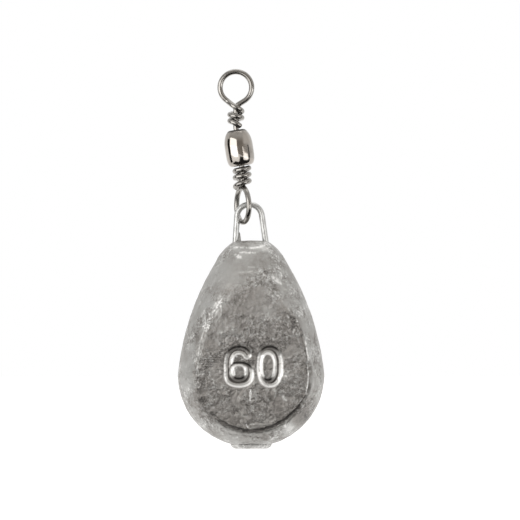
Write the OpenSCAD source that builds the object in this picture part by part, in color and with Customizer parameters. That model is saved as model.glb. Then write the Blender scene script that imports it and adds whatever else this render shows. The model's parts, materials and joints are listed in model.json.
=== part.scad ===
// A 60 gram pear-shaped lead sinker on a wire loop, hung from a barrel swivel with two wire eyes.
// Millimetres. +Z is up, the numerals face -Y, and the origin is the centre of the upper eye's ring.

/* [Lead] */
// Greatest diameter of the lead, without the mould seam
body_d = 21.1; // [18:0.1:28]
// Height of the lead, from the foot to the top
body_h = 30.1; // [27:0.1:40]
// Height of the greatest diameter above the foot
belly_h = 10.6; // [9:0.1:13]
// How far the belly's arc stands out from its chord
belly_bulge = 2.1; // [1.5:0.05:2.6]
// Height of the shoulder, where the flank turns in, above the foot
shoulder_h = 27.1; // [25:0.1:29]
// Diameter at the shoulder
shoulder_d = 10.1; // [8:0.1:12]
// How far the flank's arc stands out from its chord
flank_bulge = 1; // [0.4:0.05:1.6]
// How far the shoulder's arc stands out from its chord
shoulder_bulge = 0.25; // [0.1:0.05:0.5]
// Diameter of the land on top
land_d = 5.4; // [5:0.1:7]
// Height of the land's bevelled edge
land_edge_h = 0.25; // [0.1:0.05:0.5]
// Width of the land's bevelled edge
land_edge_w = 0.5; // [0.2:0.05:0.8]
// Diameter of the foot, where the mould was filled
foot_d = 5.8; // [4:0.1:8]
// Height of the foot
foot_h = 0.7; // [0.4:0.05:1.2]
// Bevel round the bottom of the foot
foot_bevel = 0.2; // [0.1:0.05:0.35]
// Thickness of the lead across its two flats
flat_t = 13.35; // [11:0.05:17]
// How far the mould seam stands out
seam_h = 0.06; // [0.03:0.01:0.15]
// Width of the mould seam
seam_w = 0.25; // [0.15:0.05:0.5]

/* [Numerals] */
// Height of a numeral
digit_h = 6; // [4:0.1:7]
// Width of the six
six_w = 4.35; // [3:0.05:5]
// Width of the zero
zero_w = 3.8; // [3:0.05:4.5]
// Space between the numerals
digit_gap = 0.4; // [0.2:0.05:0.8]
// Width of the numerals' grooves
stroke_w = 1.3; // [0.8:0.05:1.5]
// Depth of the numerals' grooves
stroke_depth = 0.45; // [0.2:0.05:0.8]
// Height of the numerals' middle above the foot
digit_mid_h = 12; // [10:0.1:14]
// How far the numerals stand to the right of the lead's middle
digit_shift = 0.35; // [0:0.05:0.8]

/* [Wire loop] */
// Diameter of the loop's wire
loop_wire_d = 0.88; // [0.7:0.02:1]
// Radius of the loop's arch, to the middle of the wire
arch_r = 1.8; // [1.7:0.05:2.2]
// Height of the arch's centre above the lead
arch_h = 3.5; // [3:0.05:5]
// Angle at which each leg spreads
leg_splay = 6; // [3:0.5:9]
// Angle at which the loop leans to the left
loop_lean = 2.4; // [0:0.2:4]
// How far the lead's middle stands to the right of the loop's
loop_shift = 0.08; // [0:0.01:0.3]
// How deep the legs reach into the lead
leg_depth = 9; // [6:0.5:12]
// Radius of the bend at each leg's foot
leg_bend_r = 1.1; // [1:0.1:1.6]
// Length of the foot past the bend
leg_foot = 0.6; // [0.3:0.1:1.2]
// Gap that the lead leaves round the wire as it cools
cast_gap = 0.015; // [0.01:0.005:0.03]

/* [Swivel] */
// Diameter of the eyes' wire
wire_d = 0.78; // [0.6:0.01:0.84]
// Radius of an eye's ring, to the middle of the wire
ring_r = 2.29; // [2.2:0.01:2.6]
// Angle past the ring's plane where its strand joins the wraps
join_angle = 80; // [75:1:85]
// Angle of the barrel from the vertical
barrel_tilt = 8.6; // [0:0.2:10]
// Diameter of the barrel
barrel_d = 4.1; // [3.8:0.05:5]
// Length of the barrel
barrel_len = 5.25; // [5.15:0.05:7]
// Diameter of the barrel's upper end face
top_end_d = 1.8; // [1.7:0.05:2.4]
// Diameter of the barrel's lower end face
bottom_end_d = 2.8; // [1.7:0.05:3.2]
// Length of the barrel's rounded upper end
top_round = 2.4; // [1:0.05:2.5]
// Length of the barrel's rounded lower end
bottom_round = 2.55; // [1:0.05:2.65]
// How squarely the lower end is rounded: 2 makes it an ellipse, and more makes it squarer
bottom_square = 4; // [2:0.25:6]
// Wall of the barrel round its chamber
barrel_wall = 0.55; // [0.4:0.05:0.7]
// Length of the throat at each end of the barrel
throat_len = 0.95; // [0.8:0.05:1.2]
// Diameter of each mouth where it flares
mouth_d = 1.5; // [1.2:0.05:1.7]
// Depth of the flare
mouth_depth = 0.35; // [0.2:0.05:0.5]
// Gap between a shank and its throat
shank_gap = 0.05; // [0.03:0.01:0.08]
// Diameter of the head on each shank
head_d = 1.7; // [1.4:0.05:1.9]
// Thickness of each head
head_t = 0.5; // [0.3:0.05:0.7]
// Play of each head along the barrel
head_play = 0.08; // [0.05:0.01:0.12]

/* [Upper eye] */
// Distance from the upper ring's centre to its neck
line_neck = 2.7; // [2.7:0.01:3]
// Radius of the upper eye's wraps, to the middle of the wire
line_wrap_r = 0.86; // [0.85:0.01:1]
// Turns of wire round the upper eye's shank
line_turns = 2.16; // [1:0.02:3]
// Pitch of the upper eye's wraps
line_pitch = 0.9; // [0.9:0.01:1.1]
// Drop from the neck to the first wrap
line_start = 0.54; // [0.5:0.01:0.8]
// Rise of the strand where it crosses over the core, before the first wrap
line_lift = 0.45; // [0.2:0.05:0.5]
// Drop of the wire's cut end
line_tail = 0.46; // [0.2:0.02:0.5]
// Bare shank between the last wrap and the bend
line_bare = 0.56; // [0.55:0.01:1]
// Gap between the upper bend and the barrel
line_mouth_gap = 0.4; // [0.3:0.01:0.6]

/* [Lower eye] */
// Distance from the lower ring's centre to its neck
link_neck = 3; // [3:0.01:3.4]
// Height of the lower ring's neck half, as a share of its radius
link_oval_share = 1.2; // [1:0.05:1.25]
// Radius of the lower eye's wraps, to the middle of the wire
link_wrap_r = 1; // [0.9:0.01:1.1]
// Turns of wire round the lower eye's shank
link_turns = 2.45; // [1:0.05:4]
// Pitch of the lower eye's wraps
link_pitch = 0.94; // [0.85:0.01:1.1]
// Drop from the neck to the first wrap
link_start = 0.27; // [0.25:0.01:0.5]
// Rise of the strand where it crosses over the core, before the first wrap
link_lift = 0.35; // [0.2:0.05:0.4]
// Bare shank between the last wrap and the bend
link_bare = 0.2; // [0.18:0.01:0.6]
// Gap between the lower bend and the barrel
link_mouth_gap = 0.15; // [0.15:0.01:0.5]
// Angle of the lower eye from the vertical
link_tilt = 1.4; // [0:0.1:5]
// Angle that the lower ring is turned from the upper ring
link_yaw = 67; // [40:1:90]
// Place on the arch where the ring hangs, as an angle left of the crown
hook_angle = 30; // [0:1:35]

/* [Hidden] */

// How far a cut runs past the face that it opens
overrun = 1;
// Facets on true circles, sides on a bent wire, and steps along its curves
round_fn = 96;
wire_sides = 12;
ring_steps = 22;
wrap_steps = 16;
arch_steps = 14;
link_steps = 5;
bend_steps = 5;
arc_steps = 14;
digit_steps = 40;

// A straight shank is this much thicker than the bent wire that runs into it
shank_extra = 0.01;
// How far the bent wire runs inside the straight shank
shank_lap = wire_d / 2;

// The bend where a ring's strand turns into the core, and its curve's strength, as shares of the wire
neck_bend_share = 0.65;
neck_pull_share = 1.3;
// Strengths of the curve from a ring to its first wrap, as shares of the gap and of the wire's diameter
ring_pull_share = 1.1;
wrap_pull_share = 2.2;
// Part of the last turn over which the cut end drops away
tail_share = 0.3;
// Part of the first turn over which the strand comes down to the wraps
lift_share = 0.4;

shank_r = wire_d / 2 + shank_extra;
chamber_r = barrel_d / 2 - barrel_wall;
barrel_r = barrel_d / 2;

// The six's bowl, and the islands in the middle of both numerals, as shares of a numeral's width or height
bowl_h_share = 0.62;
six_mid_w_share = 0.37;
six_mid_h_share = 0.28;
six_mid_rise_share = 0.37;
zero_mid_w_share = 0.39;
zero_mid_h_share = 0.6;
zero_mid_left_share = 0.07;
// Power that squares off the numerals' ovals when it is under 1
oval_power = 0.85;
// Angle above the level where the six's stem ends
six_open_angle = 42;

// Vector help
function unit(v) = v / norm(v);
function turn_y(v, a) = [v[0] * cos(a) + v[2] * sin(a), v[1], v[2] * cos(a) - v[0] * sin(a)];
function turn_z(v, a) = [v[0] * cos(a) - v[1] * sin(a), v[0] * sin(a) + v[1] * cos(a), v[2]];
function down_at(a) = [sin(a), 0, -cos(a)];

// The chain of places, from the upper ring's centre down to the lead's foot
line_rise = line_neck + line_start + line_turns * line_pitch + line_bare;
link_rise = link_neck + link_start + link_turns * link_pitch + link_bare;
axis_dir = down_at(barrel_tilt);
line_bend = [0, 0, -line_rise];
barrel_top = line_bend + axis_dir * line_mouth_gap;
barrel_foot = barrel_top + axis_dir * barrel_len;
link_bend = barrel_foot + axis_dir * link_mouth_gap;
link_ring = link_bend + down_at(link_tilt) * link_rise;
arch_mid = link_ring - turn_y(arch_r * [-sin(hook_angle), 0, cos(hook_angle)], -loop_lean);
lead_top_z = arch_mid[2] - arch_h;
lead_x = arch_mid[0] + arch_h * tan(loop_lean) + loop_shift;
lead_foot = [lead_x, 0, lead_top_z - body_h];

// The swing of the sinker goes round the lower ring's own axis
swing_axis = turn_y(turn_z([0, 1, 0], -link_yaw), -link_tilt);

echo(barrel_top = barrel_top, axis_dir = axis_dir);
echo(link_ring = link_ring, swing_axis = swing_axis);
echo(lead_foot = lead_foot);

// Points of an arc from p to q that stands out by bulge on the right-hand side of the way
function arc_points(p, q, bulge, steps) =
    let (
        chord = norm(q - p),
        r = (chord * chord / 4 + bulge * bulge) / (2 * bulge),
        dir = (q - p) / chord,
        centre = (p + q) / 2 + [dir[1], -dir[0]] * (bulge - r),
        from = atan2(p[1] - centre[1], p[0] - centre[0]),
        to = atan2(q[1] - centre[1], q[0] - centre[0])
    )
    [for (i = [0:steps]) let (a = from + (to - from) * i / steps) centre + r * [cos(a), sin(a)]];

// Points of a smooth curve between p and q, without its ends, that leaves and arrives along two pulls
function link_points(p, pull_p, q, pull_q, steps) =
    [for (i = [1:steps - 1])
        let (t = i / steps, u = 1 - t)
        u * u * (1 + 2 * t) * p + t * u * u * pull_p + t * t * (1 + 2 * u) * q - t * t * u * pull_q];

// Sweeps a wire of radius r along a path of points
function way(path, i) = unit(path[min(i + 1, len(path) - 1)] - path[max(i - 1, 0)]);
function square_to(v, dir) = unit(v - dir * (v * dir));
function sides_of(path, first) =
    [for (
        i = 0, side = square_to(first, way(path, 0));
        i < len(path);
        i = i + 1, side = i < len(path) ? square_to(side, way(path, i)) : side
    ) side];

module wire(path, r, first = [0, 1, 0]) {
    sides = sides_of(path, first);
    n = wire_sides;
    points = [for (i = [0:len(path) - 1]) let (out = sides[i], up = cross(way(path, i), out))
        for (k = [0:n - 1]) path[i] + r * (out * cos(360 * k / n) + up * sin(360 * k / n))];
    last = (len(path) - 1) * n;
    skin = [for (i = [0:len(path) - 2]) for (k = [0:n - 1])
        let (a = i * n + k, b = i * n + (k + 1) % n) each [[a, a + n, b], [b, a + n, b + n]]];
    polyhedron(points, concat([[for (k = [0:n - 1]) k]], skin, [[for (k = [n - 1:-1:0]) last + k]]));
}

// Distance of each point along a path, and the least gap between stretches of one wire that lie further apart
// along it than the wire's own girth
function along(path) =
    [for (i = 0, s = 0; i < len(path); i = i + 1, s = i < len(path) ? s + norm(path[i] - path[i - 1]) : s) s];
function least_gap(path, d) =
    let (s = along(path))
    min([for (i = [0:len(path) - 1]) for (k = [i + 1:len(path) - 1]) if (s[k] - s[i] > PI * d)
        norm(path[k] - path[i])]) - d;

// Turns a cylinder or a solid of revolution to stand on a point along the barrel's axis, pointing down it
module along_barrel(from) {
    translate(barrel_top + axis_dir * from) rotate([0, 180 - barrel_tilt, 0]) children();
}

// One eye, in its own frame: the shank rises from the bend along +Z, and the ring lies in the XZ plane.
// The core strand joins the ring's -X side. The +X strand crosses over it and wraps it on the way back down.
function eye_points(ring_z, neck, oval, wrap_r, turns, pitch, start, lift, way_round, tail) =
    let (
        neck_z = ring_z - neck,
        core_angle = acos(ring_r * oval / neck),
        lean = 90 - core_angle,
        wrap_z = neck_z - start,
        join_x = wrap_r * cos(join_angle),
        join_drop = (ring_z - wrap_z - lift) / oval,
        far = norm([join_x, join_drop]),
        wrap_angle = atan2(join_x, join_drop) + acos(ring_r / far),
        from = 270 - core_angle,
        to = wrap_angle - 90,
        ring = [for (i = [0:ring_steps]) let (a = from + (to - from) * i / ring_steps)
            [ring_r * cos(a), 0, ring_z + ring_r * sin(a) * (sin(a) < 0 ? oval : 1)]],
        neck_bend = wire_d * neck_bend_share,
        neck_pull = wire_d * neck_pull_share,
        core_top = [0, 0, neck_z - neck_bend],
        strand = unit([-sin(lean), 0, oval * cos(lean)]),
        strand_start = [0, 0, neck_z] + neck_bend * strand,
        last = ring[ring_steps],
        join = join_angle * way_round,
        fall = (pitch + 2 * lift / lift_share) / (2 * PI * wrap_r),
        arrive = unit([-sin(join) * way_round, cos(join) * way_round, -fall]),
        leave = unit([sin(to), 0, -oval * cos(to)]),
        count = ceil(turns * wrap_steps),
        wraps = [for (i = [0:count])
            let (
                t = turns * i / count,
                drop = max(0, (t - turns + tail_share) / tail_share),
                rise = max(0, 1 - t / lift_share),
                a = join + 360 * t * way_round
            )
            [wrap_r * cos(a), wrap_r * sin(a), wrap_z - pitch * t - tail * drop * drop + lift * rise * rise]],
        ring_pull = norm(wraps[0] - last) * ring_pull_share
    )
    concat(
        [core_top],
        link_points(core_top, [0, 0, neck_pull], strand_start, neck_pull * strand, bend_steps),
        [strand_start],
        ring,
        link_points(last, leave * ring_pull, wraps[0], arrive * wire_d * wrap_pull_share, link_steps),
        wraps
    );

// The shank and its head inside the barrel: from is the bend's place along the axis, inward the way in
module shank(from, inward, head_at) {
    inside = head_at + inward * head_t / 2;
    along_barrel(min(from, inside)) cylinder(r = shank_r, h = abs(inside - from), $fn = round_fn);
    along_barrel(inside - head_t / 2) cylinder(d = head_d, h = head_t, $fn = round_fn);
}

line_path = let (
        eye = eye_points(line_rise, line_neck, 1, line_wrap_r, line_turns, line_pitch, line_start, line_lift, 1,
            line_tail)
    )
    concat(
        [line_bend + axis_dir * shank_lap, line_bend],
        [for (p = eye) line_bend + [-p[0], -p[1], p[2]]]
    );

function link_frame(p) = link_bend + turn_y(turn_z([-p[0], p[1], -p[2]], -link_yaw), -link_tilt);
link_path = let (
        eye = eye_points(link_rise, link_neck, link_oval_share, link_wrap_r, link_turns, link_pitch, link_start,
            link_lift, -1, 0)
    )
    concat(
        [link_bend - axis_dir * shank_lap, link_bend],
        [for (p = eye) link_frame(p)]
    );

module line_eye() {
    echo(line_eye_least_gap = least_gap(line_path, wire_d));
    color("#77716a") {
        wire(line_path, wire_d / 2);
        shank(-line_mouth_gap, 1, throat_len + head_play);
    }
}

module link_eye() {
    echo(link_eye_least_gap = least_gap(link_path, wire_d));
    color("#77716a") {
        wire(link_path, wire_d / 2);
        shank(barrel_len + link_mouth_gap, -1, barrel_len - throat_len - head_play);
    }
}

// Barrel, in its own frame with the upper end face at the origin and the length along +Z
module swivel_barrel() {
    top_r = top_end_d / 2;
    bottom_r = bottom_end_d / 2;
    top = [for (i = [0:arc_steps]) let (a = 90 * i / arc_steps)
        [top_r + (barrel_r - top_r) * sin(a), top_round * (1 - cos(a))]];
    bottom = [for (i = [0:arc_steps])
        let (a = 90 * i / arc_steps, reach = pow(sin(a), 2 / bottom_square))
        [bottom_r + (barrel_r - bottom_r) * cos(a), barrel_len - bottom_round * (1 - reach)]];
    throat_r = shank_r + shank_gap;
    color("#8b847b") along_barrel(0) rotate_extrude($fn = round_fn) difference() {
        polygon(concat([[0, 0]], top, bottom, [[0, barrel_len]]));
        translate([-overrun, -overrun]) square([throat_r + overrun, barrel_len + 2 * overrun]);
        translate([-overrun, throat_len]) square([chamber_r + overrun, barrel_len - 2 * throat_len]);
        for (end = [0, 1]) translate([0, end * barrel_len]) mirror([0, end]) polygon([
            [0, 0], [mouth_d / 2, 0], [throat_r, mouth_depth], [0, mouth_depth]
        ]);
    }
}

// The loop, from one buried foot over the arch to the other, in a frame with the arch's centre at the origin
leg_len = (arch_h + leg_depth - leg_bend_r) / cos(leg_splay);
function leg_points() =
    let (
        down = [sin(leg_splay), -cos(leg_splay)],
        out = [cos(leg_splay), sin(leg_splay)],
        start = arch_r * out,
        knee = start + down * leg_len,
        bend_mid = knee + out * leg_bend_r,
        turned = 90 - leg_splay,
        bend = [for (i = [1:bend_steps]) let (a = 180 + leg_splay + turned * i / bend_steps)
            bend_mid + leg_bend_r * [cos(a), sin(a)]]
    )
    concat([knee], bend, [bend[bend_steps - 1] + [leg_foot, 0]]);
function mirrored(points) = [for (i = [len(points) - 1:-1:0]) [-points[i][0], points[i][1]]];
loop_path = let (
        leg = leg_points(),
        arch = [for (i = [0:arch_steps])
            let (a = 180 - leg_splay - (180 - 2 * leg_splay) * i / arch_steps) arch_r * [cos(a), sin(a)]],
        flat = concat(mirrored(leg), arch, leg)
    )
    [for (p = flat) arch_mid + turn_y([p[0], 0, p[1]], -loop_lean)];

module wire_loop() {
    color("#d9d9d4") wire(loop_path, loop_wire_d / 2);
}

// The lead's half outline, stood out by extra
function pear_points(extra) =
    let (
        foot_r = foot_d / 2 + extra,
        foot_top = [foot_r, foot_h],
        widest = [body_d / 2 + extra, belly_h],
        shoulder = [shoulder_d / 2 + extra, shoulder_h],
        land = [land_d / 2 + extra, body_h - land_edge_h],
        belly = arc_points(foot_top, widest, belly_bulge, arc_steps),
        flank = arc_points(widest, shoulder, flank_bulge, arc_steps),
        turn_in = arc_points(shoulder, land, shoulder_bulge, bend_steps)
    )
    concat(
        [[0, 0], [foot_r - foot_bevel, 0], [foot_r, foot_bevel]],
        belly,
        [for (i = [1:arc_steps]) flank[i]],
        [for (i = [1:bend_steps]) turn_in[i]],
        [[land[0] - land_edge_w, body_h], [0, body_h]]
    );

module pear(extra = 0) {
    rotate_extrude($fn = round_fn) polygon(pear_points(extra));
}

// Points of a numeral's squared oval
function squared(v) = sign(v) * pow(abs(v), oval_power);
function oval_point(w, h, a) = [w / 2 * squared(cos(a)), h / 2 * squared(sin(a))];
function oval(w, h) = [for (i = [0:digit_steps - 1]) oval_point(w, h, 360 * i / digit_steps)];

module zero() {
    difference() {
        polygon(oval(zero_w, digit_h));
        translate([-zero_w * zero_mid_left_share, 0])
            polygon(oval(zero_w * zero_mid_w_share, digit_h * zero_mid_h_share));
    }
}

module six() {
    angles = [for (i = [0:digit_steps]) six_open_angle + (270 - six_open_angle) * i / digit_steps];
    outside = [for (a = angles) oval_point(six_w, digit_h, a)];
    inside = [for (a = angles) oval_point(six_w - 2 * stroke_w, digit_h - 2 * stroke_w, a)];
    bowl_h = digit_h * bowl_h_share;
    polygon(concat(outside, [for (i = [digit_steps:-1:0]) inside[i]]));
    translate((outside[0] + inside[0]) / 2) circle(d = norm(outside[0] - inside[0]), $fn = digit_steps);
    difference() {
        translate([0, (bowl_h - digit_h) / 2]) polygon(oval(six_w, bowl_h));
        translate([0, digit_h * (six_mid_rise_share - 1 / 2)])
            polygon(oval(six_w * six_mid_w_share, digit_h * six_mid_h_share));
    }
}

module numerals() {
    whole_w = six_w + digit_gap + zero_w;
    translate([digit_shift, stroke_depth - flat_t / 2, digit_mid_h]) rotate([90, 0, 0])
        linear_extrude(stroke_depth + overrun) {
            translate([(six_w - whole_w) / 2, 0]) six();
            translate([(whole_w - zero_w) / 2, 0]) zero();
        }
}

module lead_body() {
    reach = body_d + 2 * overrun;
    tall = body_h + 2 * overrun;
    color("#8d8a85") difference() {
        translate(lead_foot) difference() {
            union() {
                intersection() {
                    pear();
                    translate([-reach / 2, -flat_t / 2, -overrun]) cube([reach, flat_t, tall]);
                }
                intersection() {
                    pear(seam_h);
                    translate([-reach / 2, -seam_w / 2, -overrun]) cube([reach, seam_w, tall]);
                }
            }
            numerals();
        }
        wire(loop_path, loop_wire_d / 2 + cast_gap);
    }
}

lead_body();
wire_loop();
swivel_barrel();
line_eye();
link_eye();
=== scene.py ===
"""A pear-shaped lead sinker on a barrel swivel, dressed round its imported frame. Lengths are in metres."""

import json
import math

import bpy
import numpy as np
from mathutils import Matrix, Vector, noise


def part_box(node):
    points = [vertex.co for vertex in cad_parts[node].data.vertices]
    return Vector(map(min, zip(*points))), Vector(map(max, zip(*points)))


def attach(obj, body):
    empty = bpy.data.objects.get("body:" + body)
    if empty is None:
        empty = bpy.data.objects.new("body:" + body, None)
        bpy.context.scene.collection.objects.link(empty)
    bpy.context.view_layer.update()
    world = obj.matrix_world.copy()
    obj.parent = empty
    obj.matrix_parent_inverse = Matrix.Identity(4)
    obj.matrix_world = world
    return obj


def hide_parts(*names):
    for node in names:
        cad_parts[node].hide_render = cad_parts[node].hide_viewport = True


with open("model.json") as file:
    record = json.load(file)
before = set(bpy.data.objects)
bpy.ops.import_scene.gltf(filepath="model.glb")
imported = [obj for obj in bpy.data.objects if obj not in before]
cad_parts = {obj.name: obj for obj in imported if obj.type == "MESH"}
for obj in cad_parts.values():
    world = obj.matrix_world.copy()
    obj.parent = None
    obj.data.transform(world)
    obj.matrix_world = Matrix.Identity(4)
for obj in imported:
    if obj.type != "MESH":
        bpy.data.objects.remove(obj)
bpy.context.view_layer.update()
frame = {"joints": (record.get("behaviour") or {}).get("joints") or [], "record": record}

bl_info = {
    "name": "Lead sinker and swivel",
    "version": (1, 0, 0),
    "blender": (4, 5, 0),
    "location": "3D View > Sidebar > Sinker",
    "description": "Models a cast lead sinker, its wire loop and its barrel swivel",
    "category": "Add Mesh",
}

MM = 0.001

# Places that come from the frame
JOINTS = {joint["name"]: joint for joint in frame["joints"]}
MOUNTS = {mount["name"]: mount for mount in frame["record"]["mounts"]}
BARREL_TOP = np.array(JOINTS["barrel_spin"]["pos_m"])
BARREL_AXIS = np.array(JOINTS["barrel_spin"]["axis"]) / np.linalg.norm(JOINTS["barrel_spin"]["axis"])
LINK_RING = np.array(JOINTS["sinker_swing"]["pos_m"])
LEAD_FOOT = np.array(MOUNTS["foot"]["pos_m"])
FLAT_Y = MOUNTS["back_flat"]["pos_m"][1]
LEAD_LOW, LEAD_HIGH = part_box("lead_body")


def length(name, description, mm):
    """A length that a user may change, given in millimetres."""
    return bpy.props.FloatProperty(
        name=name, description=description, default=mm * MM, min=0, unit="LENGTH", precision=5
    )


def angle(name, description, degrees):
    """An angle that a user may change, given in degrees."""
    return bpy.props.FloatProperty(
        name=name, description=description, default=math.radians(degrees), unit="ROTATION"
    )


def number(name, description, default):
    """A plain number that a user may change."""
    return bpy.props.FloatProperty(name=name, description=description, default=default)


def colour(name, description, rgb):
    """A colour that a user may change."""
    return bpy.props.FloatVectorProperty(
        name=name, description=description, default=rgb, min=0, max=1, size=3, subtype="COLOR"
    )


class LeadSizes(bpy.types.PropertyGroup):
    """Outline of the cast lead"""

    belly_h: length("Belly height", "Height of the greatest diameter above the foot", 10.6)
    belly_bulge: length("Belly bulge", "How far the belly's arc stands out from its chord", 2.1)
    shoulder_h: length("Shoulder height", "Height of the shoulder above the foot", 27.1)
    shoulder_d: length("Shoulder diameter", "Diameter at the shoulder", 10.1)
    flank_bulge: length("Flank bulge", "How far the flank's arc stands out from its chord", 1)
    shoulder_bulge: length("Shoulder bulge", "How far the shoulder's arc stands out from its chord", 0.25)
    land_d: length("Land diameter", "Diameter of the land on top", 5.4)
    land_edge_h: length("Land edge height", "Height of the land's bevelled edge", 0.25)
    land_edge_w: length("Land edge width", "Width of the land's bevelled edge", 0.5)
    foot_d: length("Foot diameter", "Diameter of the foot, where the mould was filled", 5.8)
    foot_h: length("Foot height", "Height of the foot", 0.7)
    foot_round_w: length("Foot rounding width", "How far in the foot's lower corner is rounded", 0.65)
    foot_round_h: length("Foot rounding height", "How far up the foot's lower corner is rounded", 0.5)
    seam_h: length("Seam height", "How far the mould seam stands out", 0.06)
    seam_w: length("Seam width", "Width of the mould seam", 0.25)
    rim_step: length("Panel step", "How far the numerals' panel stands above the ledge round it", 0.3)
    edge_soft: length("Edge softness", "Radius of the lead's soft edges", 0.18)


class NumeralSizes(bpy.types.PropertyGroup):
    """The engraved numerals"""

    digit_h: length("Height", "Height of a numeral", 6)
    six_w: length("Width of the six", "Width of the six", 4.35)
    zero_w: length("Width of the zero", "Width of the zero", 3.8)
    digit_gap: length("Gap", "Space between the numerals", 0.4)
    stroke_w: length("Stroke", "Width of the grooves", 1.3)
    stroke_depth: length("Depth", "Depth of the grooves", 0.42)
    digit_mid_h: length("Middle height", "Height of the numerals' middle above the foot", 12)
    digit_shift: length("Shift", "How far the numerals stand to the right of the lead's middle", 0.35)


class LoopSizes(bpy.types.PropertyGroup):
    """The wire loop that is cast into the lead"""

    wire_d: length("Wire", "Diameter of the wire", 0.88)
    arch_r: length("Arch radius", "Radius of the arch, to the middle of the wire", 1.8)
    arch_h: length("Arch height", "Height of the arch's centre above the lead", 3.5)
    leg_depth: length("Leg depth", "How deep the legs reach into the lead", 9)
    leg_bend_r: length("Foot bend", "Radius of the bend at each leg's foot", 1.1)
    leg_foot: length("Foot length", "Length of the foot past the bend", 0.6)
    leg_splay: angle("Splay", "Angle at which each leg spreads", 6)
    loop_lean: angle("Lean", "Angle at which the loop leans to the left", 2.4)
    hook_angle: angle("Hook", "Place where the ring hangs, as an angle left of the crown", 30)
    flash_h: length("Flash height", "Height of the fin of lead beside the left leg", 1.5)
    flash_w: length("Flash width", "Width of the fin of lead beside the left leg", 0.55)


def eye_sizes(neck, oval, wrap_r, turns, pitch, start, lift, tail, bare, mouth_gap):
    """The sizes of one eye, from its defaults in millimetres and in turns."""
    return {
        "neck": length("Neck", "Distance from the ring's centre to its neck", neck),
        "oval": number("Oval", "Height of the ring's neck half, as a share of its radius", oval),
        "wrap_r": length("Wrap radius", "Radius of the wraps, to the middle of the wire", wrap_r),
        "turns": number("Turns", "Turns of wire round the shank", turns),
        "pitch": length("Pitch", "Pitch of the wraps", pitch),
        "start": length("Start", "Drop from the neck to the first wrap", start),
        "lift": length("Lift", "Rise of the strand where it crosses over the core", lift),
        "tail": length("Tail", "Drop of the wire's cut end", tail),
        "bare": length("Bare shank", "Bare shank between the last wrap and the bend", bare),
        "mouth_gap": length("Mouth gap", "Gap between the bend and the barrel", mouth_gap),
    }


class LineEyeSizes(bpy.types.PropertyGroup):
    """The upper eye, for the line"""

    __annotations__ = eye_sizes(
        neck=2.7, oval=1, wrap_r=0.86, turns=2.16, pitch=0.9,
        start=0.54, lift=0.45, tail=0.46, bare=0.56, mouth_gap=0.4,
    )


class LinkEyeSizes(bpy.types.PropertyGroup):
    """The lower eye, for the sinker's loop"""

    __annotations__ = eye_sizes(
        neck=3, oval=1.2, wrap_r=1, turns=2.45, pitch=0.94,
        start=0.27, lift=0.35, tail=0, bare=0.2, mouth_gap=0.15,
    )


class SwivelSizes(bpy.types.PropertyGroup):
    """The barrel, and what its two eyes have in common"""

    wire_d: length("Wire", "Diameter of the eyes' wire", 0.78)
    ring_r: length("Ring radius", "Radius of an eye's ring, to the middle of the wire", 2.29)
    join_angle: angle("Join", "Angle past the ring's plane where its strand joins the wraps", 80)
    link_tilt: angle("Lower tilt", "Angle of the lower eye from the vertical", 1.4)
    link_yaw: angle("Lower yaw", "Angle that the lower ring is turned from the upper ring", 67)
    shank_extra: length("Shank extra", "How much more radius the straight shank has than the wire", 0.01)
    head_d: length("Head diameter", "Diameter of the head on each shank", 1.7)
    head_t: length("Head thickness", "Thickness of each head", 0.5)
    head_play: length("Head play", "Play of each head along the barrel", 0.08)
    barrel_d: length("Barrel diameter", "Diameter of the barrel", 4.1)
    barrel_len: length("Barrel length", "Length of the barrel", 5.25)
    top_end_d: length("Upper end", "Diameter of the barrel's upper end face", 1.8)
    bottom_end_d: length("Lower end", "Diameter of the barrel's lower end face", 2.8)
    top_round: length("Upper rounding", "Length of the barrel's rounded upper end", 2.4)
    bottom_round: length("Lower rounding", "Length of the barrel's rounded lower end", 2.55)
    bottom_square: number("Lower squareness", "How square the lower end is, where 2 is an ellipse", 4)
    barrel_wall: length("Wall", "Wall of the barrel round its chamber", 0.55)
    throat_len: length("Throat", "Length of the throat at each end of the barrel", 0.95)
    mouth_d: length("Mouth", "Diameter of each mouth where it flares", 1.5)
    mouth_depth: length("Flare", "Depth of the flare", 0.35)
    shank_gap: length("Shank gap", "Gap between a shank and its throat", 0.05)


class Finishes(bpy.types.PropertyGroup):
    """Colours of the metals"""

    lead_pale: colour("Pale lead", "The lead's skin round the panel", (0.44, 0.435, 0.418))
    lead_dull: colour("Dull lead", "The lead's skin on the panel", (0.3, 0.284, 0.265))
    # The brightest lead is partly scratched metal and partly painted highlights on the panel's rim, the lips
    # and glints
    lead_bright: colour("Bright lead", "Where the lead's skin is scratched or polished", (0.86, 0.85, 0.83))
    # The darkest lead is mostly painted shade: on the grooves' downward walls, along their middle and on the
    # ledge
    lead_dark: colour("Dark lead", "Soot and oxide in the corners", (0.1, 0.095, 0.09))
    tin: colour("Tinned wire", "The loop's wire", (0.56, 0.56, 0.545))
    nickel: colour("Dark nickel", "The barrel's plating", (0.41, 0.38, 0.345))
    nickel_wire: colour("Nickel wire", "The eyes' plating", (0.32, 0.306, 0.285))


class StageSizes(bpy.types.PropertyGroup):
    """The camera, the lamps and the floor"""

    middle_x: length("Middle", "How far the view's middle stands to the right of the upper ring", 3.495)
    middle_drop: length("Drop", "How far the view's middle lies below the upper ring", 25.01)
    view_w: length("View width", "Width of the view at the sinker's middle", 75.4)
    lens: number("Lens", "Focal length of the camera in millimetres", 500)
    floor_drop: length("Floor drop", "How far the floor lies below the lead's foot", 14)
    floor_w: length("Floor width", "Width of the floor", 3000)


def add_object(name, data):
    """Adds an object to the scene."""
    made = bpy.data.objects.new(name, data)
    bpy.context.scene.collection.objects.link(made)
    return made


# Angle in degrees from which the edges of a wire or of the barrel are sharp, and one that leaves none sharp
SHARP = 40
ALL_SMOOTH = 180


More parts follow.
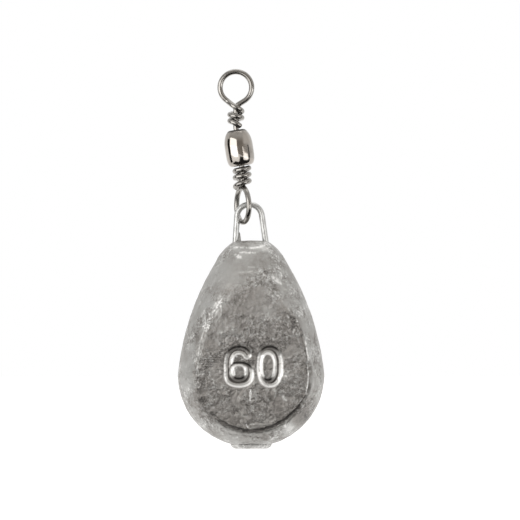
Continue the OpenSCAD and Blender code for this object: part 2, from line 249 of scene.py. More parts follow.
def make_mesh(name, points, faces, material, body, slot, node=None, sharp=SHARP):
    """Makes one piece from its points and faces, and rides it on its body in place of a CAD node."""
    mesh = bpy.data.meshes.new(name)
    mesh.from_pydata([tuple(p) for p in points], [], faces)
    mesh.update()
    mesh.shade_smooth()
    mesh.set_sharp_from_angle(angle=math.radians(sharp))
    mesh.materials.append(material)
    piece = add_object(name, mesh)
    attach(piece, body)
    if node:
        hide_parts(node)
    return piece


def unit(vector):
    """The vector at length one."""
    return vector / np.linalg.norm(vector)


def turn_y(vector, a):
    """The vector turned about +Y by a, from +Z towards +X."""
    x, y, z = vector
    return np.array([x * math.cos(a) + z * math.sin(a), y, z * math.cos(a) - x * math.sin(a)])


def turn_z(vector, a):
    """The vector turned about +Z by a, from +X towards +Y."""
    x, y, z = vector
    return np.array([x * math.cos(a) - y * math.sin(a), x * math.sin(a) + y * math.cos(a), z])


def ease(t):
    """Smooth rise from 0 to 1 as t goes from 0 to 1, flat beyond both ends."""
    t = np.clip(t, 0, 1)
    return t * t * (3 - 2 * t)


def hermite(p, pull_p, q, pull_q, steps):
    """Points between p and q on a smooth curve that leaves and arrives along two pulls."""
    points = []
    for i in range(1, steps):
        t = i / steps
        u = 1 - t
        leaving = u * u * (1 + 2 * t) * p + t * u * u * pull_p
        points.append(leaving + t * t * (1 + 2 * u) * q - t * t * u * pull_q)
    return points


def arc(p, q, bulge, steps):
    """Points of an arc from p to q that stands out by bulge on the right-hand side of the way."""
    p, q = np.array(p), np.array(q)
    chord = np.linalg.norm(q - p)
    r = (chord * chord / 4 + bulge * bulge) / (2 * bulge)
    along = (q - p) / chord
    centre = (p + q) / 2 + np.array([along[1], -along[0]]) * (bulge - r)
    start = math.atan2(*(p - centre)[::-1])
    end = math.atan2(*(q - centre)[::-1])
    return [centre + r * np.array([math.cos(a), math.sin(a)]) for a in np.linspace(start, end, steps + 1)]


def grid_faces(rows, columns, closed_rows=False):
    """Faces between rows of points that each close on themselves."""
    faces = []
    for i in range(rows if closed_rows else rows - 1):
        low = i * columns
        high = (i + 1) % rows * columns
        for k in range(columns):
            after = (k + 1) % columns
            faces.append((low + k, low + after, high + after, high + k))
    return faces


def tube(path, radii, sides):
    """Points and faces of a closed tube along a path, with one radius for each point of the path."""
    path = np.array(path)
    ways = [unit(path[min(i + 1, len(path) - 1)] - path[max(i - 1, 0)]) for i in range(len(path))]
    side = np.array([0.0, 1.0, 0.0])
    angles = 2 * math.pi * np.arange(sides) / sides
    points = []
    for place, way, r in zip(path, ways, radii):
        side = unit(side - way * (side @ way))
        up = np.cross(way, side)
        points.extend(place + r * (side * math.cos(a) + up * math.sin(a)) for a in angles)
    faces = grid_faces(len(path), sides)
    last = (len(path) - 1) * sides
    faces.append(tuple(range(sides - 1, -1, -1)))
    faces.append(tuple(range(last, last + sides)))
    return points, faces


# Angles of the rings that round off a wire's cut end
TURN_IN = [math.radians(a) for a in (0, 30, 60, 85)]


def cut_end(path, radii, bevel):
    """Turns in the last end of a tube's path by a small round edge."""
    way = unit(path[-1] - path[-2])
    tip, r = path[-1], radii[-1]
    path = path[:-1] + [tip - way * bevel * (1 - math.sin(a)) for a in TURN_IN]
    radii = radii[:-1] + [r - bevel * (1 - math.cos(a)) for a in TURN_IN]
    return path, radii


# Sides of a wire, and steps along its curves
WIRE_SIDES = 24
RING_STEPS = 96
WRAP_STEPS = 48
LINK_STEPS = 14
BEND_STEPS = 10
ARCH_STEPS = 56

# Shares that the eyes' curves are drawn with
NECK_BEND_SHARE = 0.65
NECK_PULL_SHARE = 1.3
RING_PULL_SHARE = 1.1
WRAP_PULL_SHARE = 2.2
TAIL_SHARE = 0.3
LIFT_SHARE = 0.4
CUT_BEVEL_SHARE = 0.12


def eye_path(size, eye, way_round):
    """One eye in its own frame: the shank rises along +Z from the bend, and the ring faces along Y."""
    ring_r = size.ring_r
    ring_z = eye.neck + eye.start + eye.turns * eye.pitch + eye.bare
    neck_z = ring_z - eye.neck
    core_angle = math.acos(ring_r * eye.oval / eye.neck)
    lean = math.pi / 2 - core_angle
    wrap_z = neck_z - eye.start
    join_x = eye.wrap_r * math.cos(size.join_angle)
    join_drop = (ring_z - wrap_z - eye.lift) / eye.oval
    wrap_angle = math.atan2(join_x, join_drop) + math.acos(ring_r / math.hypot(join_x, join_drop))
    start = 1.5 * math.pi - core_angle
    end = wrap_angle - math.pi / 2
    ring = []
    for a in np.linspace(start, end, RING_STEPS + 1):
        reach = ring_r * math.sin(a)
        ring.append(np.array([ring_r * math.cos(a), 0, ring_z + min(reach, reach * eye.oval)]))
    neck_bend = size.wire_d * NECK_BEND_SHARE
    neck_pull = size.wire_d * NECK_PULL_SHARE
    core_top = np.array([0, 0, neck_z - neck_bend])
    strand = unit(np.array([-math.sin(lean), 0, eye.oval * math.cos(lean)]))
    strand_start = np.array([0, 0, neck_z]) + neck_bend * strand
    join = size.join_angle * way_round
    fall = (eye.pitch + 2 * eye.lift / LIFT_SHARE) / (2 * math.pi * eye.wrap_r)
    arrive = unit(np.array([-math.sin(join) * way_round, math.cos(join) * way_round, -fall]))
    leave = unit(np.array([math.sin(end), 0, -eye.oval * math.cos(end)]))
    count = math.ceil(eye.turns * WRAP_STEPS)
    wraps = []
    for i in range(count + 1):
        t = eye.turns * i / count
        drop = max(0, (t - eye.turns + TAIL_SHARE) / TAIL_SHARE)
        rise = max(0, 1 - t / LIFT_SHARE)
        a = join + 2 * math.pi * t * way_round
        z = wrap_z - eye.pitch * t - eye.tail * drop * drop + eye.lift * rise * rise
        wraps.append(np.array([eye.wrap_r * math.cos(a), eye.wrap_r * math.sin(a), z]))
    ring_pull = np.linalg.norm(wraps[0] - ring[-1]) * RING_PULL_SHARE * leave
    wrap_pull = size.wire_d * WRAP_PULL_SHARE * arrive
    neck = hermite(core_top, np.array([0, 0, neck_pull]), strand_start, neck_pull * strand, BEND_STEPS)
    joined = hermite(ring[-1], ring_pull, wraps[0], wrap_pull, LINK_STEPS)
    return [core_top, *neck, strand_start, *ring, *joined, *wraps]


def eye_tube(size, eye, bend, inward, path):
    """The whole wire of an eye: its head and shank in the barrel, then its bend, ring and wraps."""
    wire_r = size.wire_d / 2
    shank_r = wire_r + size.shank_extra
    head_r = size.head_d / 2
    into = eye.mouth_gap + size.throat_len + size.head_play
    straight = [(into + size.head_t, head_r), (into, head_r), (into, shank_r)]
    straight += [(wire_r, shank_r), (0, wire_r)]
    points = [bend + inward * reach for reach, _ in straight] + path
    radii = [radius for _, radius in straight] + [wire_r] * len(path)
    points, radii = cut_end(points, radii, size.wire_d * CUT_BEVEL_SHARE)
    return tube(points, radii, WIRE_SIDES)


def line_eye_tube(size, eye):
    """The upper eye, which rises from its bend."""
    bend = BARREL_TOP - BARREL_AXIS * eye.mouth_gap
    path = [bend + (-x, -y, z) for x, y, z in eye_path(size, eye, 1)]
    return eye_tube(size, eye, bend, BARREL_AXIS, path)


def link_eye_tube(size, eye):
    """The lower eye, which hangs from its bend and is turned from the upper one."""
    bend = BARREL_TOP + BARREL_AXIS * (size.barrel_len + eye.mouth_gap)
    path = []
    for x, y, z in eye_path(size, eye, -1):
        path.append(bend + turn_y(turn_z((-x, y, -z), -size.link_yaw), -size.link_tilt))
    return eye_tube(size, eye, bend, -BARREL_AXIS, path)


# Steps round and along the barrel
BARREL_SIDES = 160
BARREL_STEPS = 28


def barrel_shell(size):
    """The hollow barrel, turned about its own axis: the outside down, then the bore back up."""
    end_r = size.barrel_d / 2
    top_r, bottom_r = size.top_end_d / 2, size.bottom_end_d / 2
    throat_r = size.wire_d / 2 + size.shank_extra + size.shank_gap
    mouth_r = size.mouth_d / 2
    chamber_r = end_r - size.barrel_wall
    long = size.barrel_len
    quarter = np.linspace(0, math.pi / 2, BARREL_STEPS + 1)
    outline = []
    for a in quarter:
        r = top_r + (end_r - top_r) * math.sin(a)
        outline.append((r, size.top_round * (1 - math.cos(a))))
    for a in quarter:
        r = bottom_r + (end_r - bottom_r) * math.cos(a)
        reach = math.sin(a) ** (2 / size.bottom_square)
        outline.append((r, long - size.bottom_round * (1 - reach)))
    half_bore = [(mouth_r, 0), (throat_r, size.mouth_depth)]
    half_bore += [(throat_r, size.throat_len), (chamber_r, size.throat_len)]
    outline += [(r, long - reach) for r, reach in half_bore] + half_bore[::-1]
    across = np.array([0.0, 1.0, 0.0])
    other = np.cross(BARREL_AXIS, across)
    angles = 2 * math.pi * np.arange(BARREL_SIDES) / BARREL_SIDES
    spokes = [across * math.cos(a) + other * math.sin(a) for a in angles]
    points = [BARREL_TOP + BARREL_AXIS * reach + r * spoke for r, reach in outline for spoke in spokes]
    return points, grid_faces(len(outline), BARREL_SIDES, closed_rows=True)


def loop_places(size, points):
    """Places of points that are given in the loop's own frame, with the arch's centre as its origin."""
    hook = size.arch_r * np.array([-math.sin(size.hook_angle), 0, math.cos(size.hook_angle)])
    return [LINK_RING + turn_y(np.array(point) - hook, -size.loop_lean) for point in points]


def loop_tube(size):
    """The wire loop, from one buried foot over the arch to the other."""
    splay, r = size.leg_splay, size.arch_r
    leg_len = (size.arch_h + size.leg_depth - size.leg_bend_r) / math.cos(splay)
    out = np.array([math.cos(splay), 0, math.sin(splay)])
    knee = r * out + leg_len * np.array([math.sin(splay), 0, -math.cos(splay)])
    bend_mid = knee + size.leg_bend_r * out
    turned = np.linspace(math.pi + splay, 1.5 * math.pi, BEND_STEPS + 1)
    leg = [bend_mid + size.leg_bend_r * np.array([math.cos(a), 0, math.sin(a)]) for a in turned]
    leg.append(leg[-1] + np.array([size.leg_foot, 0, 0]))
    arch = [r * np.array([math.cos(a), 0, math.sin(a)])
            for a in np.linspace(math.pi - splay, splay, ARCH_STEPS + 1)]
    mirrored = [point * np.array([-1, 1, 1]) for point in reversed(leg)]
    path = loop_places(size, mirrored + arch + leg)
    return tube(path, [size.wire_d / 2] * len(path), WIRE_SIDES)


# Steps along the fin of lead, how deep it is rooted, and how it tapers
FLASH_STEPS = 10
FLASH_ROOT = 0.25 * MM
FLASH_TAPER = 0.6


def flash_tube(size):
    """The fin of lead that ran up the inner side of the loop's left leg."""
    path, radii = [], []
    for i in range(FLASH_STEPS):
        share = i / FLASH_STEPS
        drop = size.arch_h + FLASH_ROOT - share * (size.flash_h + FLASH_ROOT)
        leg_x = -size.arch_r / math.cos(size.leg_splay) - drop * math.tan(size.leg_splay)
        half = size.flash_w / 2 * (1 - share) ** FLASH_TAPER
        path.append((leg_x + (size.wire_d + half) / 2, 0, -drop))
        radii.append(half)
    return tube(loop_places(size, path), radii, WIRE_SIDES)


# Steps along the arcs of the lead's outline, and steps along the foot's rounded corner and its bulge
OUTLINE_STEPS = 60
FOOT_STEPS = 8
FOOT_BULGE = 0.08 * MM


def lead_outline(size):
    """The lead's half outline from its foot up to its land, as radius and height above the foot."""
    body_r = (LEAD_HIGH.x - LEAD_LOW.x) / 2 - size.seam_h
    body_h = LEAD_HIGH.z - LEAD_LOW.z
    foot_r, land_r = size.foot_d / 2, size.land_d / 2
    foot_top = (foot_r, size.foot_h)
    widest = (body_r, size.belly_h)
    shoulder = (size.shoulder_d / 2, size.shoulder_h)
    land = (land_r, body_h - size.land_edge_h)
    points = [(0, 0)]
    points += arc((foot_r - size.foot_round_w, 0), (foot_r, size.foot_round_h), FOOT_BULGE, FOOT_STEPS)
    points += arc(foot_top, widest, size.belly_bulge, OUTLINE_STEPS)
    points += arc(widest, shoulder, size.flank_bulge, OUTLINE_STEPS)[1:]
    points += arc(shoulder, land, size.shoulder_bulge, OUTLINE_STEPS)[1:]
    points += [(land_r - size.land_edge_w, body_h), (0, body_h)]
    return np.array([tuple(p) for p in points])


# Spacing of the lead's mesh: over the numerals, at the panel's rim, elsewhere in front, and behind
FINE = 0.085 * MM
RIM = 0.12 * MM
PLAIN = 0.17 * MM
COARSE = 0.33 * MM
# Height of the panel's lower rim above the foot, and how far the rim reaches up and down
RIM_H = 2.7 * MM
RIM_REACH = 1.2 * MM
# How far from the numerals' middle the fine mesh and the grooves reach, as shares of the numerals' size
FINE_SHARE = 0.6
NEAR_SHARE = 0.62


def stepped(start, end, step_at):
    """Places from start to end, each a step on from the last, where step_at gives the step at a place."""
    places = [start]
    while places[-1] < end:
        places.append(places[-1] + step_at(places[-1]))
    return start + (np.array(places) - start) * (end - start) / (places[-1] - start)


def lead_rows(size, digits):
    """Radius and height of each row of the lead's mesh, closest together where there is most to show."""
    outline = lead_outline(size)
    reach = np.concatenate([[0], np.cumsum(np.linalg.norm(np.diff(outline, axis=0), axis=1))])

    def step_at(place):
        r, h = np.interp(place, reach, outline[:, 0]), np.interp(place, reach, outline[:, 1])
        if abs(h - digits.digit_mid_h) < FINE_SHARE * digits.digit_h:
            return FINE
        if abs(h - RIM_H) < RIM_REACH:
            return RIM
        if h < size.foot_h:
            return RIM if r > size.foot_d / 2 - size.foot_round_w else COARSE
        return PLAIN

    places = stepped(0, reach[-1], step_at)[1:-1]
    return np.interp(places, reach, outline[:, 0]), np.interp(places, reach, outline[:, 1])


# Columns beside the seam, as shares of its width
SEAM_SHARES = (-1.1, -0.8, -0.55, -0.4, -0.2, 0, 0.2, 0.4, 0.55, 0.8, 1.1)
# Least space between them and the plain columns, as a share of the same width
SEAM_MARGIN_SHARE = 0.4


def lead_columns(size, digits):
    """Angle of each column of the lead's mesh: 0 faces the numerals, and a quarter turn the seam."""
    body_r = (LEAD_HIGH.x - LEAD_LOW.x) / 2
    half = FINE_SHARE * (digits.six_w + digits.zero_w)
    front_x = math.sqrt(body_r ** 2 - FLAT_Y ** 2) + 2 * PLAIN
    front = stepped(0, front_x, lambda x: FINE if x < half else RIM)
    front = np.arctan2(front, FLAT_Y)
    near = size.seam_w / body_r
    beside = math.pi / 2 + near * np.array(SEAM_SHARES)
    side = np.arange(front[-1], beside[0] - SEAM_MARGIN_SHARE * near, COARSE / body_r)[1:]
    back = np.linspace(beside[-1], math.pi, int((math.pi - beside[-1]) * body_r / COARSE))[1:]
    right = np.concatenate([front, side, beside, back])
    return np.concatenate([right, 2 * math.pi - right[-2:0:-1]])


def field(points, grain, octaves=3, seed=0):
    """Smooth noise from about -1 to 1 at each point, with grains of the given size."""
    shift = Vector((17.3, 5.1, 9.7)) * seed
    return np.array([noise.fractal(Vector(p) / grain + shift, 1, 2, octaves) for p in points])


def outline_distance(x, z, outline):
    """Distance of points from a closed outline, above zero inside it."""
    after = np.roll(outline, -1, axis=0)
    edge = after - outline
    across = (outline[:, 1] > z[:, None]) != (after[:, 1] > z[:, None])
    rise = np.where(edge[:, 1] == 0, 1, edge[:, 1])
    left_of = x[:, None] - outline[:, 0] < edge[:, 0] * (z[:, None] - outline[:, 1]) / rise
    inside = (across & left_of).sum(1) % 2 == 1
    distance = line_distance(x, z, np.concatenate([outline, outline[:1]]))
    return np.where(inside, distance, -distance)


def line_distance(x, z, points):
    """Distance of points from an open line."""
    start = points[:-1]
    edge = points[1:] - start
    from_x, from_z = x[:, None] - start[:, 0], z[:, None] - start[:, 1]
    share = np.clip((from_x * edge[:, 0] + from_z * edge[:, 1]) / (edge ** 2).sum(1), 0, 1)
    return np.hypot(from_x - share * edge[:, 0], from_z - share * edge[:, 1]).min(1)


# Shares that the numerals are drawn with, of a numeral's width or height
OVAL_POWER = 0.85
OVAL_STEPS = 72
SIX_OPEN = math.radians(42)
BOWL_H_SHARE = 0.62
SIX_MID_W_SHARE = 0.37
SIX_MID_H_SHARE = 0.28
SIX_MID_RISE_SHARE = 0.37
ZERO_MID_W_SHARE = 0.39
ZERO_MID_H_SHARE = 0.6
ZERO_MID_LEFT_SHARE = 0.07


def oval(w, h, start=0.0, end=2 * math.pi):
    """Points of a squared oval, or of a stretch of it."""
    a = np.linspace(start, end, OVAL_STEPS, endpoint=end - start < 2 * math.pi)
    way = np.stack([np.cos(a), np.sin(a)], axis=1)
    return np.sign(way) * np.abs(way) ** OVAL_POWER * (w / 2, h / 2)


def numerals_distance(size, x, z):
    """How far inside the numerals' grooves each point of the panel lies."""
    whole_w = size.six_w + size.digit_gap + size.zero_w
    h = size.digit_h
    x = x - size.digit_shift
    z = z - size.digit_mid_h
    zero_x = x - (whole_w - size.zero_w) / 2
    zero = np.minimum(
        outline_distance(zero_x, z, oval(size.zero_w, h)),
        -outline_distance(zero_x + size.zero_w * ZERO_MID_LEFT_SHARE, z,
                          oval(size.zero_w * ZERO_MID_W_SHARE, h * ZERO_MID_H_SHARE)),
    )
    six_x = x - (size.six_w - whole_w) / 2
    middle = oval(size.six_w - size.stroke_w, h - size.stroke_w, SIX_OPEN, 1.5 * math.pi)
    stem = size.stroke_w / 2 - line_distance(six_x, z, middle)
    bowl_h = h * BOWL_H_SHARE
    bowl = np.minimum(
        outline_distance(six_x, z - (bowl_h - h) / 2, oval(size.six_w, bowl_h)),
        -outline_distance(six_x, z - h * (SIX_MID_RISE_SHARE - 0.5),
                          oval(size.six_w * SIX_MID_W_SHARE, h * SIX_MID_H_SHARE)),
    )
    return np.maximum.reduce([zero, stem, bowl])


# The panel's edge by the direction from its middle in degrees: its share of the step, the ledge's width, how
# far the lead swells towards it, its softness, all three in millimetres, and how dark the painted shade on
# the ledge is
RIM_ANGLES = (-180, -160, -135, -123, -100, -60, -35, -16, 8, 35, 55, 70, 90, 110, 125, 165, 180)
RIM_TABLES = {
    "share": (0.6, 0.5, 0.2, 0.6, 1, 1, 1, 0.9, 0.8, 0.7, 0.5, 0, 0, 0, 0.6, 0.7, 0.6),
    "inset": (0.2, 0.2, 0.35, 0.4, 0.35, 0.3, 0.2, 0.05, 0.02, 0.05, 0.2, 0.3, 0.4, 0.3, 0.2, 0.2, 0.2),
    "swell": (0, 0, 0, 0, 0, 0.05, 0.2, 0.38, 0.4, 0.35, 0.2, 0, 0, 0, 0, 0, 0),
    "soft": (0.25, 0.3, 0.5, 0.3, 0.2, 0.2, 0.2, 0.2, 0.2, 0.25, 0.5, 1.2, 1.8, 1.3, 0.4, 0.25, 0.25),
    "dark": (0, 0, 0.2, 0.5, 0.9, 1, 0.9, 0.7, 0.6, 0.5, 0.35, 0, 0, 0, 0, 0, 0),
}
# Width of the panel's edge, how far it wanders and over what length, and fade of the shade along it
RIM_WALL = 0.2 * MM
RIM_WANDER = 0.18 * MM
WANDER_GRAIN = 2.6 * MM
LEDGE_FADE = 0.15 * MM
# Where the flank's swell towards the panel starts, and over what length it rises
SWELL_START = 1.1 * MM
SWELL_REACH = 0.8 * MM
# Rise of the land's middle
DOME_H = 0.1 * MM

# The numerals' grooves: width of their lips and walls, fade of the lips, start and width of the painted shade
# along their middle, and how round the walls are
LIP_W = 0.1 * MM
WALL_W = 0.6 * MM
LIP_FADE = 0.17 * MM
VALLEY_START = 0.53 * MM
VALLEY_W = 0.07 * MM
WALL_POWER = 1.6
# Step over which a groove's slope is measured
SLOPE_STEP = 0.04 * MM

# Grain of the skin's waves, pits, folds and breaks, and how much shorter the folds are upwards
WAVE_GRAIN = 3.2 * MM
PIT_GRAIN = 0.75 * MM
FOLD_GRAIN = 1.7 * MM
BREAK_GRAIN = 0.5 * MM
FOLD_STRETCH = np.array([1, 1, 1.5])
# Depth of the waves, the pits and the creases, how far the flats are sunk, and the width of their edge
WAVE_H = 0.06 * MM
PIT_H = 0.06 * MM
CREASE_H = 0.09 * MM
FLAT_DROP = 0.05 * MM
FLAT_EDGE = 0.5 * MM
# Depth behind the flats from which the skin is calm
FLANK_REACH = 5 * MM
# How much of the relief is left out where the skin is smooth, in the grooves, on the foot and on the flanks
SMOOTH_CALM = 0.6
GROOVE_CALM = 0.7
FOOT_CALM = 0.6
FLANK_CALM = 0.55
# How sharp the creases and the rings are, and how deep the rings are beside the creases
CREASE_SHARP = 9
CREASE_POWER = 1.5
RING_SHARP = 2.5
RING_DEPTH = 1.3
# How far marks and patches reach past their widths and radii before they fade out
MARK_REACH = 1.25
PATCH_REACH = 1.4
# Keeps a divisor from being zero, and a rise so small that it only gives level rows a slope
NO_ZERO = 1e-12
LEVEL_RISE = 1e-9
# Shine of the foot's cut side, and width of the lines on it
FOOT_SHINE = 0.75
FOOT_LINE_W = 0.06 * MM

# Marks, in millimetres right of the axis and above the foot: their line, width, depth and brightness, which
# is partly scratched metal and partly painted highlight along the panel's rim and its ridges
MARKS = (
    (((-0.1, 8.7), (-0.16, 7.9), (-0.1, 7.2)), 0.16, 0.09, 1.0),
    (((-0.65, 3.7), (-0.45, 3.3)), 0.12, 0.05, 1.0),
    (((-0.1, 3.65), (0.35, 3.75)), 0.12, 0.05, 0.9),
    (((-3.8, 22.3), (-4.6, 21.2), (-5.7, 19.4), (-6.2, 18.0)), 0.11, -0.04, 0.45),
    (((-4.4, 21.1), (-4.25, 20.2), (-4.3, 19.5), (-5.0, 18.4)), 0.11, -0.04, 0.45),
    (((-7.0, 17.8), (-6.4, 18.0), (-5.9, 17.9)), 0.13, -0.05, 1.0),
    (((-6.6, 18.4), (-6.4, 18.0), (-6.1, 17.5)), 0.13, -0.05, 1.0),
    (((-6.0, 18.3), (-6.4, 18.0), (-6.7, 17.6)), 0.11, -0.05, 0.8),
    (((-6.7, 17.6), (-7.35, 15.6), (-7.6, 13.5), (-7.75, 11.4), (-7.6, 9.6)), 0.11, -0.04, 0.45),
    (((-6.3, 17.0), (-6.6, 15.9), (-7.0, 14.6)), 0.1, -0.03, 0.5),
    (((5.3, 19.3), (5.4, 19.2)), 0.2, -0.05, 1.0),
    (((5.6, 18.6), (6.6, 16.6), (7.2, 14.8)), 0.14, -0.02, 0.35),
    (((7.9, 15.6), (8.15, 13.6), (8.25, 11.5), (8.2, 9.5), (7.9, 8.0)), 0.12, -0.02, 0.85),
    (((-1.9, 25.6), (0.2, 25.7), (1.4, 25.5)), 0.13, -0.03, 0.45),
    (((-1.6, 25.25), (0.3, 25.3), (1.8, 25.1)), 0.14, 0.06, 0.0),
    (((-0.4, 26.4), (0.5, 26.3)), 0.12, -0.03, 0.5),
    (((1.3, 25.9), (1.5, 25.8)), 0.34, -0.04, 0.7),
    (((-5.1, 26.6), (-3.9, 27.2)), 0.16, 0.1, 0.0),
    (((-2.2, 28.0), (-1.6, 27.8)), 0.3, -0.03, 0.6),
    (((-2.4, 29.2), (0.4, 29.1), (1.6, 29.3)), 0.16, -0.02, 0.6),
    (((-1.6, 28.5), (0.6, 28.4)), 0.14, -0.02, 0.5),
    (((3.1, 24.9), (4.2, 24.0)), 0.3, -0.02, 0.45),
    (((4.6, 7.6), (5.0, 7.2)), 0.25, -0.03, 0.6),
    (((3.4, 8.8), (3.6, 8.0), (3.3, 7.4)), 0.16, -0.02, 0.4),
    (((-6.4, 6.2), (-5.4, 6.1)), 0.12, 0.05, 0.5),
    (((-2.9, 4.9), (-1.8, 5.1), (-0.6, 4.8)), 0.1, 0.03, 0.35),
    (((-3.6, 8.2), (-3.3, 7.8)), 0.12, -0.02, 0.5),
    (((5.1, 12.9), (5.8, 12.4), (6.6, 12.6)), 0.12, 0.06, 0.0),
    (((4.4, 11.7), (5.4, 11.4), (6.4, 11.7)), 0.1, 0.04, 0.3),
)

# Painted highlights (glints) on the numerals' walls, in millimetres right of the axis and above the foot:
# line, width and brightness
GLINTS = (
    (((1.45, 13.5), (1.35, 12.4), (1.5, 11.1)), 0.24, 0.9),
    (((1.7, 13.5), (2.45, 13.85), (3.1, 13.5)), 0.14, 0.8),
    (((3.15, 13.4), (3.4, 12.4), (3.3, 11.3)), 0.13, 0.8),
    (((3.3, 11.1), (3.25, 10.8)), 0.24, 0.9),
    (((1.3, 11.1), (1.35, 10.8)), 0.2, 0.8),
    (((-2.7, 12.9), (-2.65, 12.5)), 0.24, 0.9),
    (((-2.2, 13.6), (-2.05, 13.4)), 0.16, 0.7),
    (((-2.5, 11.5), (-2.45, 10.9)), 0.26, 0.9),
    (((4.0, 10.4), (4.15, 9.9)), 0.16, 0.7),
    (((4.5, 11.4), (4.65, 11.2)), 0.16, 0.6),
)

# Patches, in millimetres right of the axis and above the foot: radius and how dark, or pale below zero
PATCHES = (
    (-7.7, 7.3, 1.5, 0.4),
    (-6.7, 5.3, 1.3, 0.3),
    (7.1, 5.0, 1.5, 0.5),
    (-2.5, 4.2, 0.9, 0.35),
    (4.6, 4.4, 1.0, 0.3),
    (6.4, 16.6, 1.6, 0.2),
    (1.2, 16.1, 1.4, 0.2),
    (-0.9, 29.8, 1.0, 0.4),
    (2.1, 1.7, 0.5, 0.6),
    (-5.2, 2.6, 0.9, 0.3),
    (-3.0, 25.0, 2.6, -0.1),
    (-5.8, 21.0, 2.0, -0.2),
    (7.3, 4.4, 1.6, 0.3),
    (4.1, 25.2, 1.1, -0.35),
    (-0.5, 28.9, 1.5, -0.15),
    (2.1, 29.5, 0.9, -0.4),
    (5.5, 2.8, 1.0, -0.5),
    (4.9, 10.5, 0.8, -0.5),
    (-8.9, 14.7, 0.7, -0.35),
    (-9.2, 8.5, 1.6, -0.1),
    (7.6, 20.3, 1.1, -0.3),
    (6.4, 18.2, 0.9, 0.35),
    (8.9, 14.0, 0.9, -0.2),
    (9.3, 10.0, 0.8, -0.1),
    (8.6, 6.8, 0.8, 0.3),
    (-9.6, 11.8, 0.8, -0.2),
    (-7.0, 3.6, 0.8, -0.3),
)
# Where the skin is smooth, and where it is wrinkled in rings: place and radius
SMOOTH_SKIN = (-3.4, 24.6, 3.0)
RINGED_SKIN = (-5.4, 13.2, 2.0)
RING_STEP = 0.33 * MM
# The back has the front's marks and patches upside down, turned about half this height
BACK_TURN = 25 * MM
# How far the marks' lines wander
MARK_SHIFT = 0.07 * MM


def patch_mask(x, z, patch_x, patch_z, radius):
    """How much of a round soft patch each point shows."""
    away = np.hypot(x - patch_x * MM, z - patch_z * MM)
    return ease(PATCH_REACH - away / (radius * MM))


def lead_surface(size, digits):
    """The lead's surface as a grid of points, where the panel lies on it, and the painted shade on its ledge.
    """
    radius, height = lead_rows(size, digits)
    columns = lead_columns(size, digits)
    slope = np.gradient(radius, height + LEVEL_RISE * np.arange(len(height)))
    r, h = radius[:, None], height[:, None]
    beside_seam = np.abs(np.cos(columns)) * r / size.seam_w
    r = r + size.seam_h * ease(1.5 - 2 * beside_seam)
    front = np.cos(columns) > 0
    cosine = np.maximum(np.abs(np.cos(columns)), NO_ZERO)
    inside, around = panel_place(r, h, columns, slope, digits)
    rim = {name: np.interp(around, RIM_ANGLES, table) for name, table in RIM_TABLES.items()}
    r = r + front * rim["swell"] * MM * ease((inside + SWELL_START) / SWELL_REACH)
    inside, around = panel_place(r, h, columns, slope, digits)
    edge_at = np.stack([r * np.sin(columns), 0 * inside, h + 0 * inside], axis=2).reshape(-1, 3)
    wander = field(edge_at, WANDER_GRAIN, 3, 1).reshape(inside.shape)
    on_panel = ease((inside - rim["inset"] * MM - RIM_WANDER * wander) / RIM_WALL + 0.5)
    sunk = size.rim_step * rim["share"] * (1 - on_panel)
    cut = np.where(front, FLAT_Y - sunk, FLAT_Y) / cosine
    soft = np.where(front, rim["soft"] * MM, size.edge_soft)
    share = np.clip(0.5 + 0.5 * (cut - r) / soft, 0, 1)
    r = cut * (1 - share) + r * share - soft * share * (1 - share)
    up = h + DOME_H * ease(1 - r / (0.5 * size.land_d)) * (h > size.shoulder_h)
    grid = np.stack([r * np.sin(columns), -r * np.cos(columns), up + 0 * r], axis=2)
    panel = front * on_panel * ease(inside / (rim["soft"] * MM))
    # Painted shade on the ledge round the panel, darkest along its lower edge
    ledge = rim["dark"] * (1 - on_panel) * ease(1 + inside / LEDGE_FADE) * front * (h > size.foot_h)
    return grid, panel, ledge


def panel_place(r, h, columns, slope, digits):
    """How far inside the flat each point of the lead lies, and its direction from the panel's middle."""
    cosine = np.maximum(np.abs(np.cos(columns)), NO_ZERO)
    flat_x = np.minimum(r, FLAT_Y / cosine) * np.sin(columns)
    reach = np.hypot(flat_x, FLAT_Y)
    inside = (r - reach) / np.hypot(slope[:, None], flat_x / reach)
    return inside, np.degrees(np.arctan2(h - digits.digit_mid_h, flat_x + 0 * h))


def grid_normals(grid):
    """Outward direction at each point of a grid that closes round its columns."""
    along = np.gradient(grid, axis=0)
    around = np.roll(grid, -1, axis=1) - np.roll(grid, 1, axis=1)
    out = np.cross(around, along)
    return out / np.maximum(np.linalg.norm(out, axis=2, keepdims=True), NO_ZERO)


def groove_masks(digits, x, z, front):
    """How deep the numerals' grooves are at each point, and where their walls, lips, painted shade and shaded
    middle are.
    """
    near = front & (np.abs(z - digits.digit_mid_h) < NEAR_SHARE * digits.digit_h)
    near &= np.abs(x - digits.digit_shift) < NEAR_SHARE * (digits.six_w + digits.zero_w)
    groove, rise = np.full(len(x), -1.0), np.zeros(len(x))
    groove[near] = numerals_distance(digits, x[near], z[near])
    rise[near] = (numerals_distance(digits, x[near], z[near] + SLOPE_STEP) - groove[near]) / SLOPE_STEP
    sunk = 1 - (1 - np.clip((groove + LIP_W) / (LIP_W + WALL_W), 0, 1)) ** WALL_POWER
    wall = ease((groove + LIP_W) / (1.5 * LIP_W))
    lip = wall * (1 - ease((groove - LIP_FADE) / LIP_FADE))
    # Painted shade on the grooves' walls that face down
    under = ease(-1.5 * rise - 0.3) * wall * (0.35 + 0.65 * lip)
    # Painted shade along the grooves' middle
    valley = ease((groove - VALLEY_START) / VALLEY_W)
    return sunk, {"groove": wall, "lip": lip, "under": under, "valley": valley}


